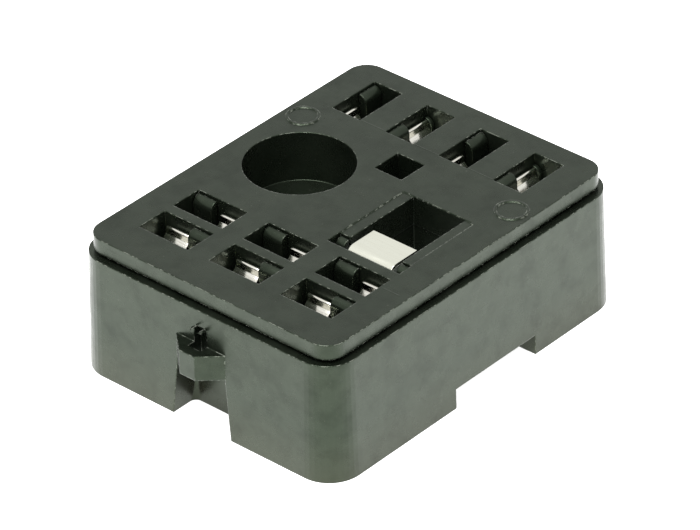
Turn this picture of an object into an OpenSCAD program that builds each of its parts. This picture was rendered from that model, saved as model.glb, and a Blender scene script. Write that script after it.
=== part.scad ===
// Plug-in relay socket: a moulded housing, a cover plate over ten fork contacts, and a retaining spring.
// Origin: middle of the underside. X runs along the faces with the lugs' width, Y from front to back, Z up.

/* [Housing] */
// Width of the housing at its rim, along X
housing_w = 36; // [35:0.5:44]
// Depth of the housing at its rim, along Y
housing_d = 46.4; // [45:0.5:56]
// Height of the housing from its underside to its rim
housing_h = 14.4; // [14:0.2:18]
// How far each side leans out from rim to underside
mould_draft = 0.4; // [0.1:0.1:0.6]
// Radius of the upright corners at the underside
corner_r = 4; // [3:0.25:5]
// Thickness of the skirt below the deck
skirt_t = 2.6; // [1.8:0.1:2.8]
// Height of the deck's underside
deck_z = 6.6; // [5.5:0.1:6.8]
// Thickness of the deck under the contact chambers
deck_t = 1.4; // [1:0.1:1.6]

/* [Cover plate] */
// Distance from the housing's rim edge in to the cover's lip
lip_inset = 0.75; // [0.5:0.05:1]
// Height of the cover's lip
lip_h = 1.8; // [1.4:0.1:2.4]
// Shadow gap between the rim and the lip
lip_gap = 0.4; // [0.2:0.05:0.8]
// Distance from the lip in to the neck that sits inside the rim
neck_inset = 0.9; // [0.6:0.05:1.1]
// How deep the neck sits below the rim
neck_h = 1.4; // [1:0.1:1.8]
// Corner radius of the lip
lip_r = 2.4; // [2:0.1:3.4]
// Clearance between the cover and the housing
cover_clear = 0.1; // [0.05:0.01:0.15]
// Radius of the pegs under the cover
peg_r = 1.2; // [0.8:0.1:1.3]
// Length of the pegs under the cover
peg_l = 2.5; // [1.5:0.1:3]

/* [Contact slots] */
// Length of a slot
slot_l = 7; // [6.8:0.1:7.2]
// Width of a slot
slot_w = 4; // [3.6:0.1:4.4]
// Spacing of the slots in the two front rows
front_pitch = 10; // [9.6:0.1:10.6]
// Distance from the housing's front rim to the middle of the front row
front_margin = 7.3; // [7:0.1:7.8]
// Spacing of the two front rows
row_step = 5.3; // [5.2:0.1:5.6]
// Spacing of the slots in the back row
back_pitch = 7.6; // [7:0.1:7.9]
// Distance from the housing's back rim to the middle of the back row
back_margin = 6.95; // [6.6:0.05:7.4]

/* [Contacts] */
// Width of a contact's two leaves
leaf_w = 3.2; // [2.8:0.1:3.3]
// Thickness of the contact strip
strip_t = 0.3; // [0.2:0.05:0.35]
// Depth of the lips below the cover's top
lip_depth = 1.3; // [1:0.1:2]
// Radius of a lip's roll, to the middle of the strip
roll_r = 0.42; // [0.3:0.02:0.5]
// Distance from the contact's middle to the middle of a lip's roll
roll_v = 0.75; // [0.65:0.01:0.85]
// Width of a solder tail
tail_w = 2.2; // [1.6:0.1:2.4]
// Height of a solder tail's tip above the underside
tail_z = 1.2; // [0.6:0.1:3]
// Side clearance of a contact in its chamber
contact_clear = 0.1; // [0.05:0.01:0.15]

/* [Round well] */
// Radius of the round well
well_r = 6.2; // [5.5:0.1:6.4]
// Depth of the round well
well_depth = 6.1; // [4:0.1:6.4]
// Wall and floor thickness of the round well
well_t = 1.2; // [0.8:0.1:1.3]
// Place of the round well along X
well_x = -8.7; // [-8.9:0.1:-8.5]
// Place of the round well along Y
well_y = 2.1; // [1.8:0.1:2.6]

/* [Keying hole] */
// Side of the square keying hole
key_w = 3.8; // [3:0.1:4.2]
// Distance from the back row's middle to the middle of the keying hole
key_gap = 7.8; // [7.5:0.05:7.95]

/* [Window] */
// Width of the window for the relay's stud
window_w = 7.2; // [7:0.1:7.6]
// Distance from the second row's middle to the window's front edge
window_gap = 3.4; // [3.2:0.05:3.5]
// Length of the window
window_l = 12.2; // [10.5:0.1:12.4]
// Middle of the window along X
window_x = 8.5; // [8.3:0.1:8.7]
// Extra width of the window's ears on each side
ear_w = 1.4; // [1:0.1:1.6]
// Length of the ears
ear_l = 2.1; // [1.8:0.1:2.4]
// Width of the shallow recess around the window
frame_w = 0.9; // [0.5:0.1:1.2]
// Depth of the shallow recess around the window
frame_depth = 0.12; // [0.05:0.01:0.3]

/* [Retaining spring] */
// Width of the spring
spring_w = 6; // [5:0.1:6.2]
// Sheet thickness of the spring
spring_t = 0.4; // [0.3:0.05:0.5]
// Gap between the spring's upright leg and the window's front edge
spring_gap = 0.7; // [0.6:0.05:0.8]
// Depth of the spring's top below the cover's top
spring_depth = 0.5; // [0.4:0.05:1]
// Outer radius of the spring's bend
spring_r = 1.2; // [0.9:0.05:1.5]
// Length of the spring's top tongue beyond the bend
tongue_l = 3.2; // [2.5:0.1:3.4]
// Depth of the spring's seat
seat_depth = 2.4; // [2:0.1:2.6]
// Clearance on each side of the leg in its seat
seat_clear = 0.2; // [0.15:0.01:0.25]

/* [Lugs and niches] */
// Width of a lug where it meets the wall
lug_w = 6.5; // [5:0.1:6.6]
// Width of a lug's front face
lug_nose_w = 2.15; // [1.5:0.05:3]
// How far a lug stands out from the wall
lug_reach = 2.3; // [1.5:0.1:3]
// Height of a lug's underside
lug_z = 7.35; // [6.8:0.05:8]
// Thickness of a lug
lug_h = 3; // [2:0.1:3.2]
// Radius of the upright rib over a lug
lug_rib_r = 0.8; // [0.5:0.05:1]
// Height of the upright rib over a lug
lug_rib_h = 2.1; // [1:0.1:2.4]
// Width of the niche under a lug, at the underside
niche_w = 8.2; // [7.6:0.1:9]
// Depth of the niche into the skirt
niche_depth = 3.4; // [3.2:0.1:3.8]
// Thickness of the wall behind the niche
niche_t = 1.4; // [1:0.1:1.6]

/* [Side notches] */
// Length of the notch in each side's lower edge
notch_l = 13; // [8:0.5:15]
// Height of the notch
notch_h = 2.4; // [1.5:0.1:3.5]
// Middle of the notch along Y
notch_y = 2.5; // [0:0.5:5]

/* [Hidden] */
$fn = 64;
e = 0.01; // overrun of a cut past a face

lip_z = housing_h + lip_gap;
top_z = lip_z + lip_h;
neck_z = housing_h - neck_h;
lip_w = housing_w - 2 * lip_inset;
lip_d = housing_d - 2 * lip_inset;
neck_w = lip_w - 2 * neck_inset;
neck_d = lip_d - 2 * neck_inset;
neck_r = lip_r - neck_inset;
chamber_z = deck_z + deck_t;

// Rows of slots and the openings between them
front_row_y = front_margin - housing_d / 2;
second_row_y = front_row_y + row_step;
back_row_y = housing_d / 2 - back_margin;
key_y = back_row_y - key_gap;
window_y0 = second_row_y + window_gap;
window_y1 = window_y0 + window_l;

// The pegs stand beside the back row and in the front corners.
peg_x = neck_w / 2 - peg_r - 0.5;
peg_back_y = back_row_y - slot_l / 2 - 3.3;
peg_front_y = -(neck_d / 2 - peg_r - 1);
PEGS = [for (x = [-peg_x, peg_x], y = [peg_front_y, peg_back_y]) [x, y]];
ring_r = 1.9;
ring_t = 0.3;
ring_h = 0.12;

// Contact stations: [x, y, turn about Z, shift]. The shift is 0 for a contact in the middle of its slot,
// and 1 or -1 for one that stands at an end of it.
row_x = [for (i = [-1:1]) i * front_pitch];
FRONT = [for (x = row_x) [x, front_row_y, 0, 0]];
SECOND = [for (x = row_x) [x, second_row_y, 0, 1]];
BACK = [for (i = [0:3]) [(i - 1.5) * back_pitch, back_row_y, 90, i % 2 == 0 ? -1 : 0]];
STATIONS = concat(FRONT, SECOND, BACK);
mid_shift = 0.3; // how far a contact lies off its slot's middle
end_shift = slot_l / 2 - leaf_w / 2 - contact_clear;
guide_gap = 0.12; // gap between a guide and the slot's sides, above the rim
guide_root = 0.2; // how far a guide runs on into the chamber's walls, below the rim
guide_z = top_z - 1.1; // top of the guide ribs beside a contact
bump_z = top_z - 0.5; // top of the round-backed guide at the other end of a slot
bump_l = 2.6;
bump_t = 1.8;

// Retaining spring: leg_y is its front face, and it pivots in the middle of its seat.
leg_y = window_y0 + spring_gap;
spring_top = top_z - spring_depth;
seat_z = 9.5;
seat_floor = seat_z - seat_depth;
ledge_l = 2.7;

niche_lean = 0.75; // how far each jamb leans in up to the lug
niche_fillet = 0.8;

function flip(p) = [for (i = [len(p) - 1:-1:0]) [-p[i][0], p[i][1]]];
function arc(c, r, a0, a1, n) = [for (i = [0:n]) let (a = a0 + (a1 - a0) * i / n) c + r * [cos(a), sin(a)]];
function unit(v) = v / norm(v);
function side(p, i) = let (d = unit(p[min(i + 1, len(p) - 1)] - p[max(i - 1, 0)])) [-d[1], d[0]];

// Strip of thickness t that follows a path
module ribbon(p, t) {
    n = len(p);
    left = [for (i = [0:n - 1]) p[i] + side(p, i) * t / 2];
    right = [for (i = [n - 1:-1:0]) p[i] - side(p, i) * t / 2];
    polygon(concat(left, right));
}

// Rectangle with round corners
module rounded_rect(w, d, r) {
    square([w - 2 * r, d], center = true);
    square([w, d - 2 * r], center = true);
    for (x = [-1, 1], y = [-1, 1]) translate([x * (w / 2 - r), y * (d / 2 - r)]) circle(r);
}

// Upright prism with round corners, from z0 to z1
module rounded_block(w, d, r, z0, z1) {
    translate([0, 0, z0]) linear_extrude(z1 - z0) rounded_rect(w, d, r);
}

// Block whose four sides lean out by draft towards its base; w and d are its size at the top
module drafted_block(w, d, h, draft, r) {
    cx = w / 2 + draft - r;
    cy = d / 2 + draft - r;
    rotate([90, 0, 0]) linear_extrude(2 * cy, center = true) lean_profile(w, h, draft);
    rotate([90, 0, 90]) linear_extrude(2 * cx, center = true) lean_profile(d, h, draft);
    for (x = [-cx, cx], y = [-cy, cy]) translate([x, y, 0]) cylinder(h = h, r1 = r, r2 = r - draft);
}

module lean_profile(w, h, draft) {
    polygon([[-w / 2 - draft, 0], [w / 2 + draft, 0], [w / 2, h], [-w / 2, h]]);
}

// Box from one corner to the other
module box(low, high) {
    translate(low) cube(high - low);
}

// Puts its children at a station, with X along the slot and Y across it
module at_station(s) {
    translate([s[0], s[1], 0]) rotate([0, 0, s[2]]) children();
}

// Front and back copies of what is drawn on the front face
module both_faces() {
    for (a = [0, 180]) rotate([0, 0, a]) children();
}

function shift_of(s) = s[3] == 0 ? mid_shift : s[3] * end_shift;

// Window outline with its two ears, grown by g
module window_outline(g) {
    translate([window_x, 0]) {
        translate([-window_w / 2 - g, window_y0 - g]) square([window_w + 2 * g, window_l + 2 * g]);
        translate([-window_w / 2 - ear_w - g, window_y0 - g]) square([window_w + 2 * ear_w + 2 * g, ear_l + 2 * g]);
    }
}

// ---- housing ----

// Wall pocket that carries the niche inside the skirt
module niche_wall() {
    y1 = -housing_d / 2 - mould_draft + niche_depth + niche_t;
    box([-niche_w / 2 - niche_t, -housing_d / 2, 0], [niche_w / 2 + niche_t, y1, deck_z + e]);
}

// The niche is open below and narrows up to the lug
module niche_cut() {
    face_y = -housing_d / 2 - mould_draft;
    y1 = face_y + niche_depth;
    intersection() {
        translate([0, y1, 0]) rotate([90, 0, 0]) linear_extrude(niche_depth + 1)
            polygon([[-niche_w / 2, -e], [niche_w / 2, -e], [niche_w / 2 - niche_lean, lug_z], [niche_lean - niche_w / 2, lug_z]]);
        translate([0, y1 - niche_depth - niche_fillet, -1])
            linear_extrude(lug_z + 2) niche_plan();
    }
}

module niche_plan() {
    r = niche_fillet;
    d = niche_depth + r;
    translate([-niche_w / 2, -1]) square([niche_w, d + 1 - r]);
    translate([-niche_w / 2 + r, 0]) square([niche_w - 2 * r, d]);
    for (x = [-1, 1]) translate([x * (niche_w / 2 - r), d - r]) circle(r);
}

// Lug with chamfered sides, and the upright rib over it
module lug() {
    face_y = -housing_d / 2;
    root = 1;
    translate([0, 0, lug_z]) linear_extrude(lug_h)
        polygon([[-lug_w / 2, face_y + root], [-lug_w / 2, face_y - mould_draft / 2],
                 [-lug_nose_w / 2, face_y - lug_reach], [lug_nose_w / 2, face_y - lug_reach],
                 [lug_w / 2, face_y - mould_draft / 2], [lug_w / 2, face_y + root]]);
    translate([0, face_y - lug_rib_r * 0.6, lug_z + lug_h - e]) cylinder(h = lug_rib_h, r = lug_rib_r);
}

// Chamber below one slot, and the narrow slit for the solder tail
module chamber_cut(s) {
    at_station(s) {
        box([-slot_l / 2, -slot_w / 2, chamber_z], [slot_l / 2, slot_w / 2, housing_h + 1]);
        translate([shift_of(s), mid_shift, 0])
            box([-tail_w / 2 - contact_clear, -strip_t / 2 - contact_clear, deck_z - 1],
                [tail_w / 2 + contact_clear, strip_t / 2 + contact_clear, chamber_z + 1]);
    }
}

// Guides that stand in a chamber and reach up into the slot
module chamber_guides(s) {
    half_v = slot_w / 2 - guide_gap;
    half_u = slot_l / 2 - guide_gap;
    reach = leaf_w / 2 + contact_clear;
    at_station(s) {
        if (s[3] == 0) {
            guide_rib(-half_u, mid_shift - reach, half_v, guide_z);
            guide_rib(half_u, mid_shift + reach, half_v, guide_z);
        } else mirror([s[3] < 0 ? 1 : 0, 0, 0]) {
            round_guide(-half_u, -half_u + bump_l, half_v);
            box([-half_u + bump_l - e, -half_v, chamber_z - e], [end_shift - reach, half_v, neck_z - 1]);
        }
    }
}

// Rib across a chamber from its end wall at u_wall to u_free, with a rounded top; it joins the walls below the rim
module guide_rib(u_wall, u_free, half_v, z) {
    r = abs(u_free - u_wall) / 2;
    u0 = min(u_wall, u_free);
    out = u_wall < u_free ? [guide_root, 0] : [0, guide_root];
    box([u0, -half_v, chamber_z - e], [u0 + 2 * r, half_v, z - r]);
    translate([u0 + r, half_v, z - r]) rotate([90, 0, 0]) cylinder(h = 2 * half_v, r = r);
    box([u0 - out[0], -half_v - guide_root, chamber_z - e], [u0 + 2 * r + out[1], half_v + guide_root, neck_z]);
}

// Guide at the slot's far side, rounded off towards its near side
module round_guide(u0, u1, half_v) {
    intersection() {
        box([u0, half_v - bump_t, chamber_z - e], [u1, half_v, bump_z]);
        union() {
            translate([u0, half_v - 0.3, bump_z - bump_t]) rotate([0, 90, 0]) cylinder(h = u1 - u0, r = bump_t);
            box([u0, half_v - bump_t, chamber_z - 1], [u1, half_v, bump_z - bump_t]);
        }
    }
    box([u0 - guide_root, half_v - bump_t, chamber_z - e], [u1, half_v + guide_root, neck_z]);
}

// Ledge under the spring with its seat, and the two posts in the window's ears
module spring_ledge() {
    x0 = window_x - window_w / 2 - ear_w - 0.5;
    x1 = window_x + window_w / 2 + ear_w + 0.5;
    difference() {
        box([x0, window_y0 - 0.5, deck_z], [x1, window_y0 + ledge_l, seat_z]);
        box([window_x - spring_w / 2 - seat_clear, leg_y - seat_clear, seat_floor],
            [window_x + spring_w / 2 + seat_clear, leg_y + spring_t + seat_clear, seat_z + 1]);
    }
    for (m = [0, 1]) translate([window_x, 0, 0]) mirror([m, 0, 0]) ear_post();
}

module ear_post() {
    r = 1;
    x0 = window_w / 2 + 0.05;
    x1 = window_w / 2 + ear_w - 0.2;
    y1 = window_y0 + ear_l - cover_clear - 0.05;
    z = top_z - 0.35;
    box([x0, y1 - r, seat_z - e], [x1, y1, z - r]);
    intersection() {
        box([x0, y1 - r, z - r - e], [x1, y1, z]);
        translate([x0, y1, z - r]) rotate([0, 90, 0]) cylinder(h = x1 - x0, r = r);
    }
}

module housing() {
    inner_w = housing_w - 2 * skirt_t;
    inner_d = housing_d - 2 * skirt_t;
    inner_r = max(corner_r - skirt_t, 0.8);
    color([0.12, 0.13, 0.12]) {
        difference() {
            union() {
                difference() {
                    drafted_block(housing_w, housing_d, housing_h, mould_draft, corner_r);
                    rounded_block(inner_w, inner_d, inner_r, -1, deck_z);
                }
                both_faces() niche_wall();
            }
            rounded_block(neck_w + 2 * cover_clear, neck_d + 2 * cover_clear, neck_r + cover_clear, neck_z, housing_h + 1);
            both_faces() niche_cut();
            for (x = [-1, 1]) translate([x * housing_w / 2, notch_y, 0])
                cube([2 * skirt_t + 2, notch_l, 2 * notch_h], center = true);
            for (s = STATIONS) chamber_cut(s);
            translate([0, 0, -1]) linear_extrude(housing_h + 2) window_outline(cover_clear);
            translate([well_x, well_y, top_z - well_depth - well_t - cover_clear])
                cylinder(h = housing_h, r = well_r + well_t + cover_clear);
            box([-key_w / 2 - cover_clear, key_y - key_w / 2 - cover_clear, chamber_z],
                [key_w / 2 + cover_clear, key_y + key_w / 2 + cover_clear, housing_h + 1]);
            for (p = PEGS) translate([p[0], p[1], neck_z - peg_l - 0.3]) cylinder(h = peg_l + 2, r = peg_r + 0.03);
        }
        both_faces() lug();
        for (s = STATIONS) chamber_guides(s);
        spring_ledge();
    }
}

// ---- cover plate ----

module cover_plate() {
    color([0.11, 0.12, 0.11]) {
        difference() {
            union() {
                rounded_block(lip_w, lip_d, lip_r, lip_z, top_z);
                rounded_block(neck_w, neck_d, neck_r, neck_z, lip_z + e);
                translate([well_x, well_y, top_z - well_depth - well_t])
                    cylinder(h = well_depth + well_t - lip_h / 2, r = well_r + well_t);
            }
            translate([well_x, well_y, top_z - well_depth]) cylinder(h = well_depth + 1, r = well_r);
            for (s = STATIONS) at_station(s)
                box([-slot_l / 2, -slot_w / 2, neck_z - 1], [slot_l / 2, slot_w / 2, top_z + 1]);
            translate([0, 0, neck_z - 1]) linear_extrude(top_z) window_outline(0);
            box([window_x - window_w / 2 - ear_w, window_y0, top_z - frame_depth],
                [window_x + window_w / 2 + frame_w, window_y1 + frame_w, top_z + 1]);
            box([-key_w / 2, key_y - key_w / 2, neck_z - 1], [key_w / 2, key_y + key_w / 2, top_z + 1]);
        }
        for (p = PEGS) translate([p[0], p[1], neck_z - peg_l]) cylinder(h = peg_l + e, r = peg_r);
        for (x = [-1, 1]) translate([x * (peg_x + 0.1), peg_back_y, top_z - e]) witness_ring();
    }
}

// Low ring that the mould leaves over a peg
module witness_ring() {
    difference() {
        cylinder(h = ring_h + e, r = ring_r);
        translate([0, 0, -1]) cylinder(h = ring_h + 2, r = ring_r - ring_t);
    }
}

// ---- contacts ----

// One leaf of the fork: bottom bend, leaf, pinch and rolled lip, on the middle of the strip
function leaf_path() =
    let (bend_r = 0.75,
         z0 = chamber_z + strip_t / 2,
         roll_z = top_z - lip_depth - strip_t / 2 - roll_r)
    concat(arc([0, z0 + bend_r], bend_r, -90, 0, 8),
           [[0.24, roll_z - 1.4]],
           arc([roll_v, roll_z], roll_r, 190, -35, 14));

module contact(s) {
    path = concat([for (p = flip(leaf_path())) p], [for (i = [1:len(leaf_path()) - 1]) leaf_path()[i]]);
    color([0.78, 0.76, 0.70]) at_station(s) translate([shift_of(s), mid_shift, 0]) {
        rotate([90, 0, 90]) linear_extrude(leaf_w, center = true) ribbon(path, strip_t);
        box([-tail_w / 2, -strip_t / 2, tail_z], [tail_w / 2, strip_t / 2, chamber_z + strip_t]);
    }
}

// ---- retaining spring ----

// Upright leg, bend and tongue, on the middle of the sheet
function spring_path() =
    let (r = spring_r - spring_t / 2,
         y = leg_y + spring_t / 2,
         z = spring_top - spring_r)
    concat([[y, seat_floor + 0.02]],
           arc([leg_y + spring_r, z], r, 180, 90, 12),
           [[leg_y + spring_r + tongue_l, spring_top - spring_t / 2]]);

module retaining_spring() {
    color([0.90, 0.89, 0.84]) translate([window_x, 0, 0]) rotate([90, 0, 90])
        linear_extrude(spring_w, center = true) ribbon(spring_path(), spring_t);
}

housing();
cover_plate();
retaining_spring();
contact(FRONT[0]);  // contact_front_1
contact(FRONT[1]);  // contact_front_2
contact(FRONT[2]);  // contact_front_3
contact(SECOND[0]);  // contact_second_1
contact(SECOND[1]);  // contact_second_2
contact(SECOND[2]);  // contact_second_3
contact(BACK[0]);  // contact_back_1
contact(BACK[1]);  // contact_back_2
contact(BACK[2]);  // contact_back_3
contact(BACK[3]);  // contact_back_4
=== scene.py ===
import math

import bmesh
import bpy
from mathutils import Matrix, Vector


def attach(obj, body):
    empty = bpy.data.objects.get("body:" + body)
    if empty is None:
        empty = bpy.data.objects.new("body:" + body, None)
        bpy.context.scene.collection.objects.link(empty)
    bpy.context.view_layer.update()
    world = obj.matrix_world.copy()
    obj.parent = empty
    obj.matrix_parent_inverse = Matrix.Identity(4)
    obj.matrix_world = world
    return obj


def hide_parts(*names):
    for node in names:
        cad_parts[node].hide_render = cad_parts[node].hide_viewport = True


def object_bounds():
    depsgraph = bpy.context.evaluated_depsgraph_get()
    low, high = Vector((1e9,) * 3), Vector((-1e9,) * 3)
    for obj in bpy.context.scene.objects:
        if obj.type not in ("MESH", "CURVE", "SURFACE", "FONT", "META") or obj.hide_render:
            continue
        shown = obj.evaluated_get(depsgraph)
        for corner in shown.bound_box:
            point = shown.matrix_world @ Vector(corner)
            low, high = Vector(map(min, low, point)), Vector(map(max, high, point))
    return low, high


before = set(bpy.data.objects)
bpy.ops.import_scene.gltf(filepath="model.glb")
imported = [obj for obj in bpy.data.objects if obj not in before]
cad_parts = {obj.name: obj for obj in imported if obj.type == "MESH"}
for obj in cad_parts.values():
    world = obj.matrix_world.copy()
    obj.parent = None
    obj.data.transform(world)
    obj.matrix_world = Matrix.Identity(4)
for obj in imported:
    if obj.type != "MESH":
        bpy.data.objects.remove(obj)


def as_lists(box):
    return [[float(c) for c in corner] for corner in box]


cad_box = as_lists(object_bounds())
MM = 0.001


# ---- node helpers ----

class Nodes:
    """A material's node tree, with short ways to add and join nodes. Lengths are in millimetres."""

    def __init__(self, name):
        self.material = bpy.data.materials.new(name)
        self.material.use_nodes = True
        self.tree = self.material.node_tree
        self.shader = self.tree.nodes["Principled BSDF"]

    def add(self, kind, **settings):
        node = self.tree.nodes.new(kind)
        for key, value in settings.items():
            setattr(node, key, value)
        return node

    def join(self, source, target):
        self.tree.links.new(source, target)

    def feed(self, sockets, values):
        """Sets each socket to its value, or joins it where the value is another node's output."""
        for socket, value in zip(sockets, values):
            if isinstance(value, (int, float, tuple)):
                socket.default_value = value
            else:
                self.join(value, socket)

    def coordinates(self, stretch=(1, 1, 1), turn=(0, 0, 0)):
        """Object coordinates, stretched and turned."""
        space = self.add("ShaderNodeTexCoord")
        mapping = self.add("ShaderNodeMapping")
        mapping.inputs["Scale"].default_value = [s / MM for s in stretch]
        mapping.inputs["Rotation"].default_value = turn
        self.join(space.outputs["Object"], mapping.inputs["Vector"])
        return mapping.outputs["Vector"]

    def axes(self):
        """Object coordinates, each by its axis's name."""
        split = self.add("ShaderNodeSeparateXYZ")
        self.join(self.coordinates(), split.inputs[0])
        return split.outputs

    def noise(self, scale, detail=3.0, roughness=0.5, stretch=(1, 1, 1), turn=(0, 0, 0)):
        """Noise with about scale features to the millimetre."""
        node = self.add("ShaderNodeTexNoise")
        node.inputs["Scale"].default_value = scale
        node.inputs["Detail"].default_value = detail
        node.inputs["Roughness"].default_value = roughness
        self.join(self.coordinates(stretch, turn), node.inputs["Vector"])
        return node.outputs["Fac"]

    def spread(self, value, low, high, out_low=0.0, out_high=1.0):
        """Maps value from low..high to out_low..out_high, clamped."""
        node = self.add("ShaderNodeMapRange")
        names = ("From Min", "From Max", "To Min", "To Max")
        for name, number in zip(names, (low, high, out_low, out_high)):
            node.inputs[name].default_value = number
        self.join(value, node.inputs["Value"])
        return node.outputs["Result"]

    def math(self, operation, a, b=0):
        node = self.add("ShaderNodeMath", operation=operation)
        self.feed(node.inputs, (a, b))
        return node.outputs["Value"]

    def mix(self, factor, a, b):
        """Mix of two colours."""
        node = self.add("ShaderNodeMix", data_type="RGBA")
        self.feed((node.inputs[0], node.inputs[6], node.inputs[7]), (factor, a, b))
        return node.outputs[2]

    def rounded(self, radius, samples):
        """The surface's direction, with edges rounded to the radius."""
        bevel = self.add("ShaderNodeBevel", samples=samples)
        bevel.inputs["Radius"].default_value = radius * MM
        return bevel.outputs["Normal"]

    def bump(self, height, distance, strength, normal):
        """The direction normal, tilted by a height of up to distance."""
        node = self.add("ShaderNodeBump")
        node.inputs["Strength"].default_value = strength
        node.inputs["Distance"].default_value = distance * MM
        self.join(height, node.inputs["Height"])
        self.join(normal, node.inputs["Normal"])
        return node.outputs["Normal"]

    def edge(self, radius):
        """Near 1 where an edge is within the radius, else 0."""
        shape = self.add("ShaderNodeNewGeometry")
        dot = self.add("ShaderNodeVectorMath", operation="DOT_PRODUCT")
        self.join(self.rounded(radius, 6), dot.inputs[0])
        self.join(shape.outputs["Normal"], dot.inputs[1])
        return self.spread(dot.outputs["Value"], 1.0, 0.8)

    def handled(self):
        """1 at the top face and round the outside, which hands and tools reach, and 0 in the openings."""
        axes = self.axes()
        across = self.spread(self.math("ABSOLUTE", axes["X"]), 16.0, 16.2)
        along = self.spread(self.math("ABSOLUTE", axes["Y"]), 21.8, 22.0)
        above = self.spread(axes["Z"], 16.0, 16.25)
        return self.math("MAXIMUM", above, self.math("MAXIMUM", across, along))

    def thin_line(self, middle, span):
        """Near 1 on a line along X at Y = middle, which fades out at both ends of its span."""
        axes, fade = self.axes(), 0.2
        away = self.math("ABSOLUTE", self.math("SUBTRACT", axes["Y"], middle))
        line = self.spread(away, 0.1, 0.04)
        for end, full in ((span[0], span[0] + fade), (span[1], span[1] - fade)):
            line = self.math("MULTIPLY", line, self.spread(axes["X"], end, full))
        return line


def rgb(r, g, b):
    return (r, g, b, 1.0)


# ---- materials; lengths are in millimetres ----

# Black plastic. A share is how far a colour covers what is below it.
BLACK_DEEP, BLACK_PALE = rgb(0.0035, 0.0050, 0.0032), rgb(0.0070, 0.0090, 0.0062)
DUST, DUST_SHARE = rgb(0.10, 0.10, 0.085), 0.25
CHIP, CHIP_SHARE, CHIP_REACH = rgb(0.34, 0.36, 0.31), 0.75, 0.12
# Painted light: a warmer, lighter colour towards the bottom stands in for light reflected from the floor
# onto the sides.
PAINTED_FLOOR_LIGHT, PAINTED_FLOOR_LIGHT_SHARE, PAINTED_FLOOR_LIGHT_H = rgb(0.026, 0.022, 0.014), 0.5, 6.0  # warmer towards the floor
REFLECTION_TINT = rgb(0.73, 0.92, 0.66)
MOULD_EDGE_R = 0.2

# Plated sheet
SPRING_BRIGHT, SPRING_DULL = rgb(0.84, 0.85, 0.745), rgb(0.74, 0.73, 0.61)
TIN_BRIGHT, TIN_DULL = rgb(0.86, 0.85, 0.78), rgb(0.42, 0.36, 0.26)
TARNISH_SHARE = 0.35
SHEET_EDGE_R = 0.07

# Floor
FLOOR_WHITE = rgb(0.92, 0.92, 0.92)
FLOOR_GLOW = 0.9


def plastic_color(n, paint_floor_light):
    """Cloudy black with specks of dust, chipped edges and, where asked for, painted warm floor light
    towards the bottom.
    """
    color = n.mix(n.spread(n.noise(0.22, detail=4.0), 0.35, 0.7), BLACK_DEEP, BLACK_PALE)
    dust = n.math("MULTIPLY", n.spread(n.noise(3.2, detail=2.0), 0.70, 0.76), DUST_SHARE)
    color = n.mix(dust, color, DUST)
    chips = n.math("MULTIPLY", n.edge(CHIP_REACH), n.spread(n.noise(2.2, detail=2.0), 0.50, 0.60))
    chips = n.math("MULTIPLY", chips, n.handled())
    color = n.mix(n.math("MULTIPLY", chips, CHIP_SHARE), color, CHIP)
    # Painted warm floor light: the colour turns warmer and lighter towards the bottom, in place of light
    # reflected from the floor.
    if paint_floor_light:
        color = n.mix(n.spread(n.axes()["Z"], PAINTED_FLOOR_LIGHT_H, 0.0, 0.0, PAINTED_FLOOR_LIGHT_SHARE), color, PAINTED_FLOOR_LIGHT)
    return color


def fine_scratches(n):
    """Near 1 on short scratches, which run two ways."""
    one_way = n.noise(1.0, detail=1.0, stretch=(0.25, 9.0, 9.0), turn=(0.3, 0.2, 0.5))
    other_way = n.noise(1.0, detail=1.0, stretch=(8.0, 0.3, 8.0), turn=(0.1, -0.3, 0.25))
    return n.math("MAXIMUM", n.spread(one_way, 0.66, 0.72), n.spread(other_way, 0.67, 0.73))


def moulded_plastic(name, paint_floor_light, witness_lines=()):
    """Satin black phenolic: mottled gloss, orange peel, fine scratches, dust, rounded and chipped edges,
    and, where asked for, painted warm floor light towards the bottom.
    """
    n = Nodes(name)
    n.join(plastic_color(n, paint_floor_light), n.shader.inputs["Base Color"])
    n.shader.inputs["IOR"].default_value = 1.5
    n.shader.inputs["Specular Tint"].default_value = REFLECTION_TINT
    blotches = n.spread(n.noise(0.4, detail=6.0, roughness=0.65), 0.45, 0.75, 0.53, 0.36)
    n.join(blotches, n.shader.inputs["Specular IOR Level"])

    scratches = fine_scratches(n)
    rough = n.spread(n.noise(0.5, detail=5.0, roughness=0.6), 0.3, 0.7, 0.22, 0.36)
    rough = n.math("ADD", rough, n.math("MULTIPLY", scratches, 0.12))
    n.join(rough, n.shader.inputs["Roughness"])

    wave = n.bump(n.noise(0.35, detail=2.0), 0.05, 0.5, n.rounded(MOULD_EDGE_R, 8))
    peel = n.bump(n.noise(4.0, detail=3.0), 0.004, 0.6, wave)
    relief = n.bump(scratches, -0.004, 0.5, peel)
    for middle, span in witness_lines:
        relief = n.bump(n.thin_line(middle, span), 0.02, 0.8, relief)
    n.join(relief, n.shader.inputs["Normal"])
    return n.material


def plated_sheet(name, bright, dull, rough_low, rough_high, along):
    """Bright plated metal with faint rolling lines that run along one axis, and slight tarnish."""
    n = Nodes(name)
    stretch = [0.4 if axis == along else 12.0 for axis in "xyz"]
    tarnish = n.spread(n.noise(0.5, detail=4.0, stretch=stretch), 0.45, 0.75)
    color = n.mix(n.math("MULTIPLY", tarnish, TARNISH_SHARE), bright, dull)
    n.join(color, n.shader.inputs["Base Color"])
    n.shader.inputs["Metallic"].default_value = 1.0
    rolled = n.noise(1.0, detail=2.0, stretch=stretch)
    n.join(n.spread(rolled, 0.3, 0.7, rough_low, rough_high), n.shader.inputs["Roughness"])
    n.join(n.bump(rolled, 0.002, 0.4, n.rounded(SHEET_EDGE_R, 8)), n.shader.inputs["Normal"])
    return n.material


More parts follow.
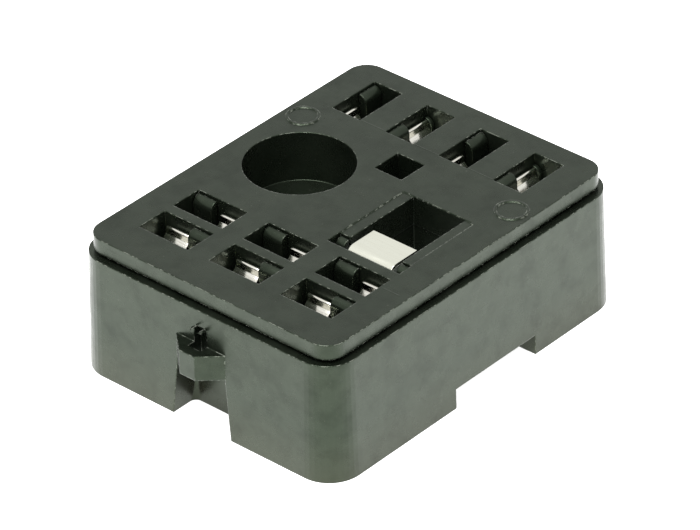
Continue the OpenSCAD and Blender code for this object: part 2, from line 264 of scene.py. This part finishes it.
def glowing_white(name):
    """Matte white that glows, so that the floor stays white round the object."""
    n = Nodes(name)
    n.shader.inputs["Base Color"].default_value = FLOOR_WHITE
    n.shader.inputs["Roughness"].default_value = 0.9
    n.shader.inputs["Emission Color"].default_value = rgb(1, 1, 1)
    n.shader.inputs["Emission Strength"].default_value = FLOOR_GLOW
    return n.material


def dress(node, material):
    """The node keeps its solid and gets the material."""
    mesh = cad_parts[node].data
    mesh.materials.clear()
    mesh.materials.append(material)


# ---- sizes of the forms that the rigid nodes lack, in millimetres ----

TOP = 16.6  # height of the cover's top face
NECK = 13.0  # underside of the cover's neck
CHAMBER = 8.0  # floor of the contact chambers
ABOVE = TOP + 1  # where the cuts that are open at the top end
OVERLAP = 0.02  # how far a form runs past the face at which it meets another

# Slots, in two front rows and a back row
SLOT_L, SLOT_W = 7.0, 4.0
FRONT_Y, SECOND_Y, BACK_Y = -15.9, -10.6, 16.25
FRONT_PITCH, BACK_PITCH = 10, 7.6

# Contacts. The depths of the pinch and of the funnel are below the middle of the lips' roll.
STRIP = 0.3  # thickness of the strip
LEAF_W = 3.3  # width of its leaves, along the slot
CLEAR = 0.1  # from a contact to the slot's end, and to a low guide
FORK_V = 0.25  # how far across the slot the fork stands from its middle
BEND_R = 0.75  # bend under the leaves
PINCH_V, PINCH_DEPTH = 0.3, 1.4
FUNNEL_V, FUNNEL_DEPTH, FUNNEL_END = 1.14, 0.62, 0.25
ROLL_R, ROLL_V, ROLL_Z = 0.13, 1.36, TOP - 1.63
STRIP_EDGE_R = 0.05
TAIL_W, TAIL_V = 2.2, 0.3
TAIL_Z, TAIL_TOP = 1.2, 8.3  # its bottom, and its top in the fork's bend
TAIL_U, END_TAIL_U = 0.3, 1.8  # along the slot, for a contact beside the high guide and at the other end

# Guides, a high one and a low one in each slot
GUIDE_GAP = 0.12  # from a guide to the slot's sides
HALF_U, HALF_V = SLOT_L / 2 - GUIDE_GAP, SLOT_W / 2 - GUIDE_GAP
GUIDE_R = 1.0  # rounding of a guide's top
HIGH_GUIDE_L, HIGH_GUIDE_TOP = 2.6, TOP - 0.3
GUIDE_SPACE = 0.3  # from a high guide to the contact beside it
LOW_GUIDE_TOP, SHOWN_LOW_GUIDE_TOP = TOP - 4, TOP - 1.3
GUIDE_FOOT = CHAMBER - 0.2  # sunk into the chamber's floor
WALL_ROOT = 0.06  # how far a guide runs into the chamber's wall
WALL_ROOT_TOP = NECK - 0.02  # just below the cover's neck

# Lugs, and the pocket over each
FACE_Y = -23.2  # end face at the housing's rim
LUG_HALF, LUG_NOSE_HALF = 3.4, 1.075
LUG_ROOT = 1  # how far it runs into the housing
LUG_SHOULDER, LUG_REACH = 0.2, 2.3  # from the face to the end of its full width, and to its nose
LUG_Z, LUG_TOP = 7.35, 10.35
POCKET_HALF, POCKET_CORNER_R, POCKET_TOP = 0.875, 0.5, 12.45
POCKET_BACK, POCKET_OUT = -22.3, -26.0  # Y of its end in the housing, and past the lug's nose
LUG_SLOT_OUT = -24.3  # Y of the outer side of the slot through the lug's root
LUG_SLOT_Z, LUG_SLOT_TOP = 6.35, 10.4  # below the lug, and in the pocket

# Shallow recess beside the window, as boxes from a low to a high corner
RECESS_FILL = (3.4, 5.02, TOP - 0.6), (13.6, 6.4, TOP)  # closes it behind the window
RECESS_SIDE = (12.05, -7.2, TOP - 0.12), (13.35, 4.75, ABOVE)  # widens it at the window's right

# Joints of the mould's inserts on the cover: the Y of each line, and its span along X
WITNESS_LINES = ((12.8, (-9.2, 13.3)), (-10.29, (13.8, 16.3)))


# ---- meshes ----

def new_object(name, data):
    """A new object in the scene."""
    made = bpy.data.objects.new(name, data)
    bpy.context.scene.collection.objects.link(made)
    return made


def object_from(form, name):
    """The bmesh as a new object."""
    mesh = bpy.data.meshes.new(name)
    form.to_mesh(mesh)
    form.free()
    return new_object(name, mesh)


def prisms(name, shapes):
    """One object of closed prisms.

    A shape is a profile of points (a, b), two ends and a function that places (end, a, b).
    """
    form = bmesh.new()
    for profile, low, high, place in shapes:
        rings = [[form.verts.new(place(end, a, b)) for a, b in profile] for end in (low, high)]
        form.faces.new(rings[0])
        form.faces.new(rings[1][::-1])
        for i in range(len(profile)):
            j = (i + 1) % len(profile)
            form.faces.new((rings[0][i], rings[0][j], rings[1][j], rings[1][i]))
    bmesh.ops.recalc_face_normals(form, faces=form.faces[:])
    return object_from(form, name)


def rectangle(low, high):
    """Corners of a rectangle, from its low and high corners."""
    (a0, b0), (a1, b1) = low, high
    return [(a0, b0), (a1, b0), (a1, b1), (a0, b1)]


def block(low, high, turn=1):
    """Shape of a box; turn -1 puts it at the opposite side of the frame's Z axis."""
    return (rectangle(low[1:], high[1:]), low[0], high[0],
            lambda x, y, z: (turn * x * MM, turn * y * MM, z * MM))


def arc(middle, radius, start, end, steps):
    """Points of an arc; its angles are in degrees."""
    angles = [math.radians(start + (end - start) * i / steps) for i in range(steps + 1)]
    return [(middle[0] + radius * math.cos(a), middle[1] + radius * math.sin(a)) for a in angles]


def applied(piece):
    """Applies the piece's modifiers to its mesh."""
    seen = piece.evaluated_get(bpy.context.evaluated_depsgraph_get())
    mesh = bpy.data.meshes.new_from_object(seen)
    piece.modifiers.clear()
    piece.data = mesh


def combine(piece, tool, operation):
    """Joins the tool to the piece or cuts it away, and deletes the tool, which must not overlap itself."""
    step = piece.modifiers.new("combine", "BOOLEAN")
    step.object = tool
    step.operation = operation
    step.solver = "EXACT"
    applied(piece)
    bpy.data.objects.remove(tool)


def copy_of_node(node, name):
    """The node's solid as a new piece, with its split corners joined again."""
    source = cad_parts[node]
    form = bmesh.new()
    form.from_mesh(source.data)
    bmesh.ops.remove_doubles(form, verts=form.verts[:], dist=1e-4 * MM)
    made = object_from(form, name)
    made.matrix_world = source.matrix_world.copy()
    return made


def stand_for(piece, node, material, smooth):
    """The piece is shown in place of the node, on the fixed body."""
    for polygon in piece.data.polygons:
        polygon.use_smooth = smooth
    if smooth:
        piece.data.set_sharp_from_angle(angle=math.radians(30))
    piece.data.materials.clear()
    piece.data.materials.append(material)
    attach(piece, "base")
    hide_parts(node)


# ---- housing and cover ----

class Station:
    """One slot with its contact and its guides. In it, u runs along the slot and v across it.

    guide is the end, 1 or -1, at which the high guide stands. The contact stands beside that guide or,
    where at_end is true, at the slot's other end. guides lists the high guide and then the low one, each
    as its two ends and its top, for a slot whose guide is 1.
    """

    def __init__(self, node, x, y, turned, guide, at_end):
        self.node, self.x, self.y, self.turned = node, x, y, turned
        self.guide, self.at_end = guide, at_end
        half = LEAF_W / 2
        reach = half + CLEAR
        high_u = HALF_U - HIGH_GUIDE_L
        if at_end:
            self.contact_u = -guide * (SLOT_L / 2 - half - CLEAR)
            low_guide = (guide * self.contact_u + reach, high_u + OVERLAP, LOW_GUIDE_TOP)
        else:
            self.contact_u = guide * (high_u - GUIDE_SPACE - half)
            top = SHOWN_LOW_GUIDE_TOP if turned else LOW_GUIDE_TOP
            low_guide = (-HALF_U, guide * self.contact_u - reach, top)
        self.guides = [(high_u, HALF_U, HIGH_GUIDE_TOP), low_guide]

    def place(self, u, v, z):
        """The point in the frame, in metres. A turned slot runs along Y, and the others along X."""
        if self.turned:
            u, v = -v, u
        return (self.x + u) * MM, (self.y + v) * MM, z * MM


def stations():
    """The ten slots: three in each front row, and four turned ones in the back row."""
    made = []
    for row, y, guide, at_end in (("front", FRONT_Y, 1, False), ("second", SECOND_Y, -1, True)):
        for i in range(3):
            made.append(Station(f"contact_{row}_{i + 1}", (i - 1) * FRONT_PITCH, y, False, guide, at_end))
    for i in range(4):
        x, even = (i - 1.5) * BACK_PITCH, i % 2 == 0
        made.append(Station(f"contact_back_{i + 1}", x, BACK_Y, True, 1 if even else -1, even))
    return made


def guide_shape(station, guide):
    """Guide rounded off towards the slot's near side, and rooted in the chamber below the rim."""
    low, high, top = guide
    wall = SLOT_W / 2 + WALL_ROOT
    profile = arc((HALF_V, top - GUIDE_R), GUIDE_R, 90, 180, 14)
    profile += [(HALF_V - GUIDE_R, GUIDE_FOOT), (wall, GUIDE_FOOT)]
    profile += [(wall, WALL_ROOT_TOP), (HALF_V, WALL_ROOT_TOP)]
    return profile, station.guide * low, station.guide * high, station.place


def lug_shape(turn):
    """Lug under an end face, a little wider than the rigid one."""
    nose, shoulder, root = FACE_Y - LUG_REACH, FACE_Y - LUG_SHOULDER, FACE_Y + LUG_ROOT
    side = [(LUG_NOSE_HALF, nose), (LUG_HALF, shoulder), (LUG_HALF, root)]
    plan = [(-x, y) for x, y in side[::-1]] + side
    return plan, LUG_Z, LUG_TOP, lambda z, x, y: (turn * x * MM, turn * y * MM, z * MM)


def pocket_shape(turn):
    """Round-topped pocket in the end face over a lug."""
    x, z = POCKET_HALF - POCKET_CORNER_R, POCKET_TOP - POCKET_CORNER_R
    arch = [(-POCKET_HALF, LUG_TOP), (POCKET_HALF, LUG_TOP)]
    arch += arc((x, z), POCKET_CORNER_R, 0, 90, 6) + arc((-x, z), POCKET_CORNER_R, 90, 180, 6)
    return arch, POCKET_OUT, POCKET_BACK, lambda y, x, z: (turn * x * MM, turn * y * MM, z * MM)


def build_housing(material):
    """The rigid housing with other guides in its chambers, wider lugs and a pocket over each lug."""
    piece = copy_of_node("housing", "housing_moulding")
    combine(piece, prisms("lugs", [lug_shape(turn) for turn in (1, -1)]), "UNION")
    half_u, half_v = SLOT_L / 2 + OVERLAP, SLOT_W / 2 + OVERLAP
    chamber = rectangle((-half_v, CHAMBER - OVERLAP), (half_v, ABOVE))
    cuts = [(chamber, -half_u, half_u, s.place) for s in stations()]
    combine(piece, prisms("cuts", cuts), "DIFFERENCE")
    slot_low = (-POCKET_HALF, LUG_SLOT_OUT, LUG_SLOT_Z)
    slot_high = (POCKET_HALF, POCKET_BACK, LUG_SLOT_TOP)
    for turn in (1, -1):
        combine(piece, prisms("pocket", [pocket_shape(turn)]), "DIFFERENCE")
        combine(piece, prisms("slot", [block(slot_low, slot_high, turn)]), "DIFFERENCE")
    for i in (0, 1):  # the high guides first, since some low ones run into them
        guides = [guide_shape(s, s.guides[i]) for s in stations()]
        combine(piece, prisms("guides", guides), "UNION")
    stand_for(piece, "housing", material, False)


def build_cover(material):
    """The rigid cover with its shallow recess beside the window alone, wider at the window's right."""
    piece = copy_of_node("cover_plate", "cover_moulding")
    combine(piece, prisms("fill", [block(*RECESS_FILL)]), "UNION")
    combine(piece, prisms("side", [block(*RECESS_SIDE)]), "DIFFERENCE")
    stand_for(piece, "cover_plate", material, False)


# ---- contacts ----

def strip_outline(path, thickness):
    """Closed outline of a strip that follows a path."""
    left, right = [], []
    for i, (x, y) in enumerate(path):
        x0, y0 = path[max(i - 1, 0)]
        x1, y1 = path[min(i + 1, len(path) - 1)]
        length = math.hypot(x1 - x0, y1 - y0)
        dx, dy = -(y1 - y0) / length * thickness / 2, (x1 - x0) / length * thickness / 2
        left.append((x + dx, y + dy))
        right.append((x - dx, y - dy))
    return left + right[::-1]


def fork_outline():
    """Section of a contact: two leaves with a bend below, a pinch, a funnel and lips rolled outwards."""
    leaf = arc((0, CHAMBER + STRIP / 2 + BEND_R), BEND_R, -90, 0, 8)
    leaf.append((PINCH_V, ROLL_Z - PINCH_DEPTH))
    leaf.append((FUNNEL_V, ROLL_Z - FUNNEL_DEPTH))
    leaf.append((ROLL_V - ROLL_R, ROLL_Z - FUNNEL_END))
    leaf += arc((ROLL_V, ROLL_Z), ROLL_R, 180, -35, 14)
    return strip_outline([(-v, z) for v, z in leaf[::-1]] + leaf[1:], STRIP)


def round_strip_edges(piece):
    edges = piece.modifiers.new("edges", "BEVEL")
    edges.width = STRIP_EDGE_R * MM
    edges.segments = 2
    edges.limit_method = "ANGLE"
    edges.angle_limit = math.radians(50)
    applied(piece)


def build_contact(station, material):
    """Fork at its place beside the guide, on the rigid contact's solder tail."""
    fork = [(v + FORK_V, z) for v, z in fork_outline()]
    low, high = station.contact_u - LEAF_W / 2, station.contact_u + LEAF_W / 2
    piece = prisms(station.node + "_strip", [(fork, low, high, station.place)])
    round_strip_edges(piece)
    tail = rectangle((TAIL_V - STRIP / 2, TAIL_Z), (TAIL_V + STRIP / 2, TAIL_TOP))
    tail_u = -station.guide * END_TAIL_U if station.at_end else TAIL_U
    shape = (tail, tail_u - TAIL_W / 2, tail_u + TAIL_W / 2, station.place)
    combine(piece, prisms("tail", [shape]), "UNION")
    stand_for(piece, station.node, material, True)


# ---- stage, light and camera, in metres ----

def build_floor():
    half = 1.5
    mesh = bpy.data.meshes.new("floor")
    corners = [(x, y, 0) for x, y in rectangle((-half, -half), (half, half))]
    mesh.from_pydata(corners, [], [(0, 1, 2, 3)])
    mesh.materials.append(glowing_white("floor_white"))
    floor = new_object("floor", mesh)
    floor.location.z = cad_box[0][2] - 0.01 * MM


def soft_box(name, place, target, size, watts):
    """Square lamp that points at the target."""
    light = bpy.data.lights.new(name, "AREA")
    light.shape = "SQUARE"
    light.size = size
    light.energy = watts
    lamp = new_object(name, light)
    lamp.location = place
    lamp.rotation_euler = (Vector(target) - Vector(place)).to_track_quat("-Z", "Y").to_euler()


def build_light():
    """White surroundings, and one large lamp overhead."""
    world = bpy.data.worlds.new("studio")
    world.use_nodes = True
    sky = world.node_tree.nodes["Background"]
    sky.inputs["Color"].default_value = rgb(1.0, 1.0, 0.99)
    sky.inputs["Strength"].default_value = 0.9
    bpy.context.scene.world = world
    soft_box("top_box", place=(0.05, -0.25, 0.75), target=(0, 0, 0.01), size=0.6, watts=9.0)
    view = bpy.context.scene.view_settings
    view.view_transform = "Standard"
    view.look = "None"


def build_camera():
    """Long lens from the front right, looking down; the angles are those of the object's picture."""
    around, down, roll = math.radians(42.04), math.radians(33.68), math.radians(-1.35)
    distance = 0.58216
    target = Vector((-0.00248, 0.0029, 0.00573))
    back = Vector((math.sin(around) * math.cos(down), -math.cos(around) * math.cos(down), math.sin(down)))
    right = Vector((math.cos(around), math.sin(around), 0))
    up = back.cross(right)
    rolled_right = right * math.cos(roll) + up * math.sin(roll)
    rolled_up = up * math.cos(roll) - right * math.sin(roll)
    data = bpy.data.cameras.new("camera")
    data.lens = 278.1
    data.sensor_width = 36
    camera = new_object("camera", data)
    turn = Matrix((rolled_right, rolled_up, back)).transposed()
    camera.matrix_world = Matrix.Translation(target + back * distance) @ turn.to_4x4()
    bpy.context.scene.camera = camera


build_camera()
build_light()
build_floor()

# The housing's plastic gets painted warm floor light towards its bottom.
build_housing(moulded_plastic("housing_phenolic", True))
build_cover(moulded_plastic("cover_phenolic", False, WITNESS_LINES))
dress("retaining_spring", plated_sheet("nickel_spring", SPRING_BRIGHT, SPRING_DULL, 0.16, 0.26, "x"))
tinned = {}
for axis in "xy":
    tinned[axis] = plated_sheet("tinned_bronze_" + axis, TIN_BRIGHT, TIN_DULL, 0.10, 0.20, axis)
for station in stations():
    build_contact(station, tinned["y" if station.turned else "x"])
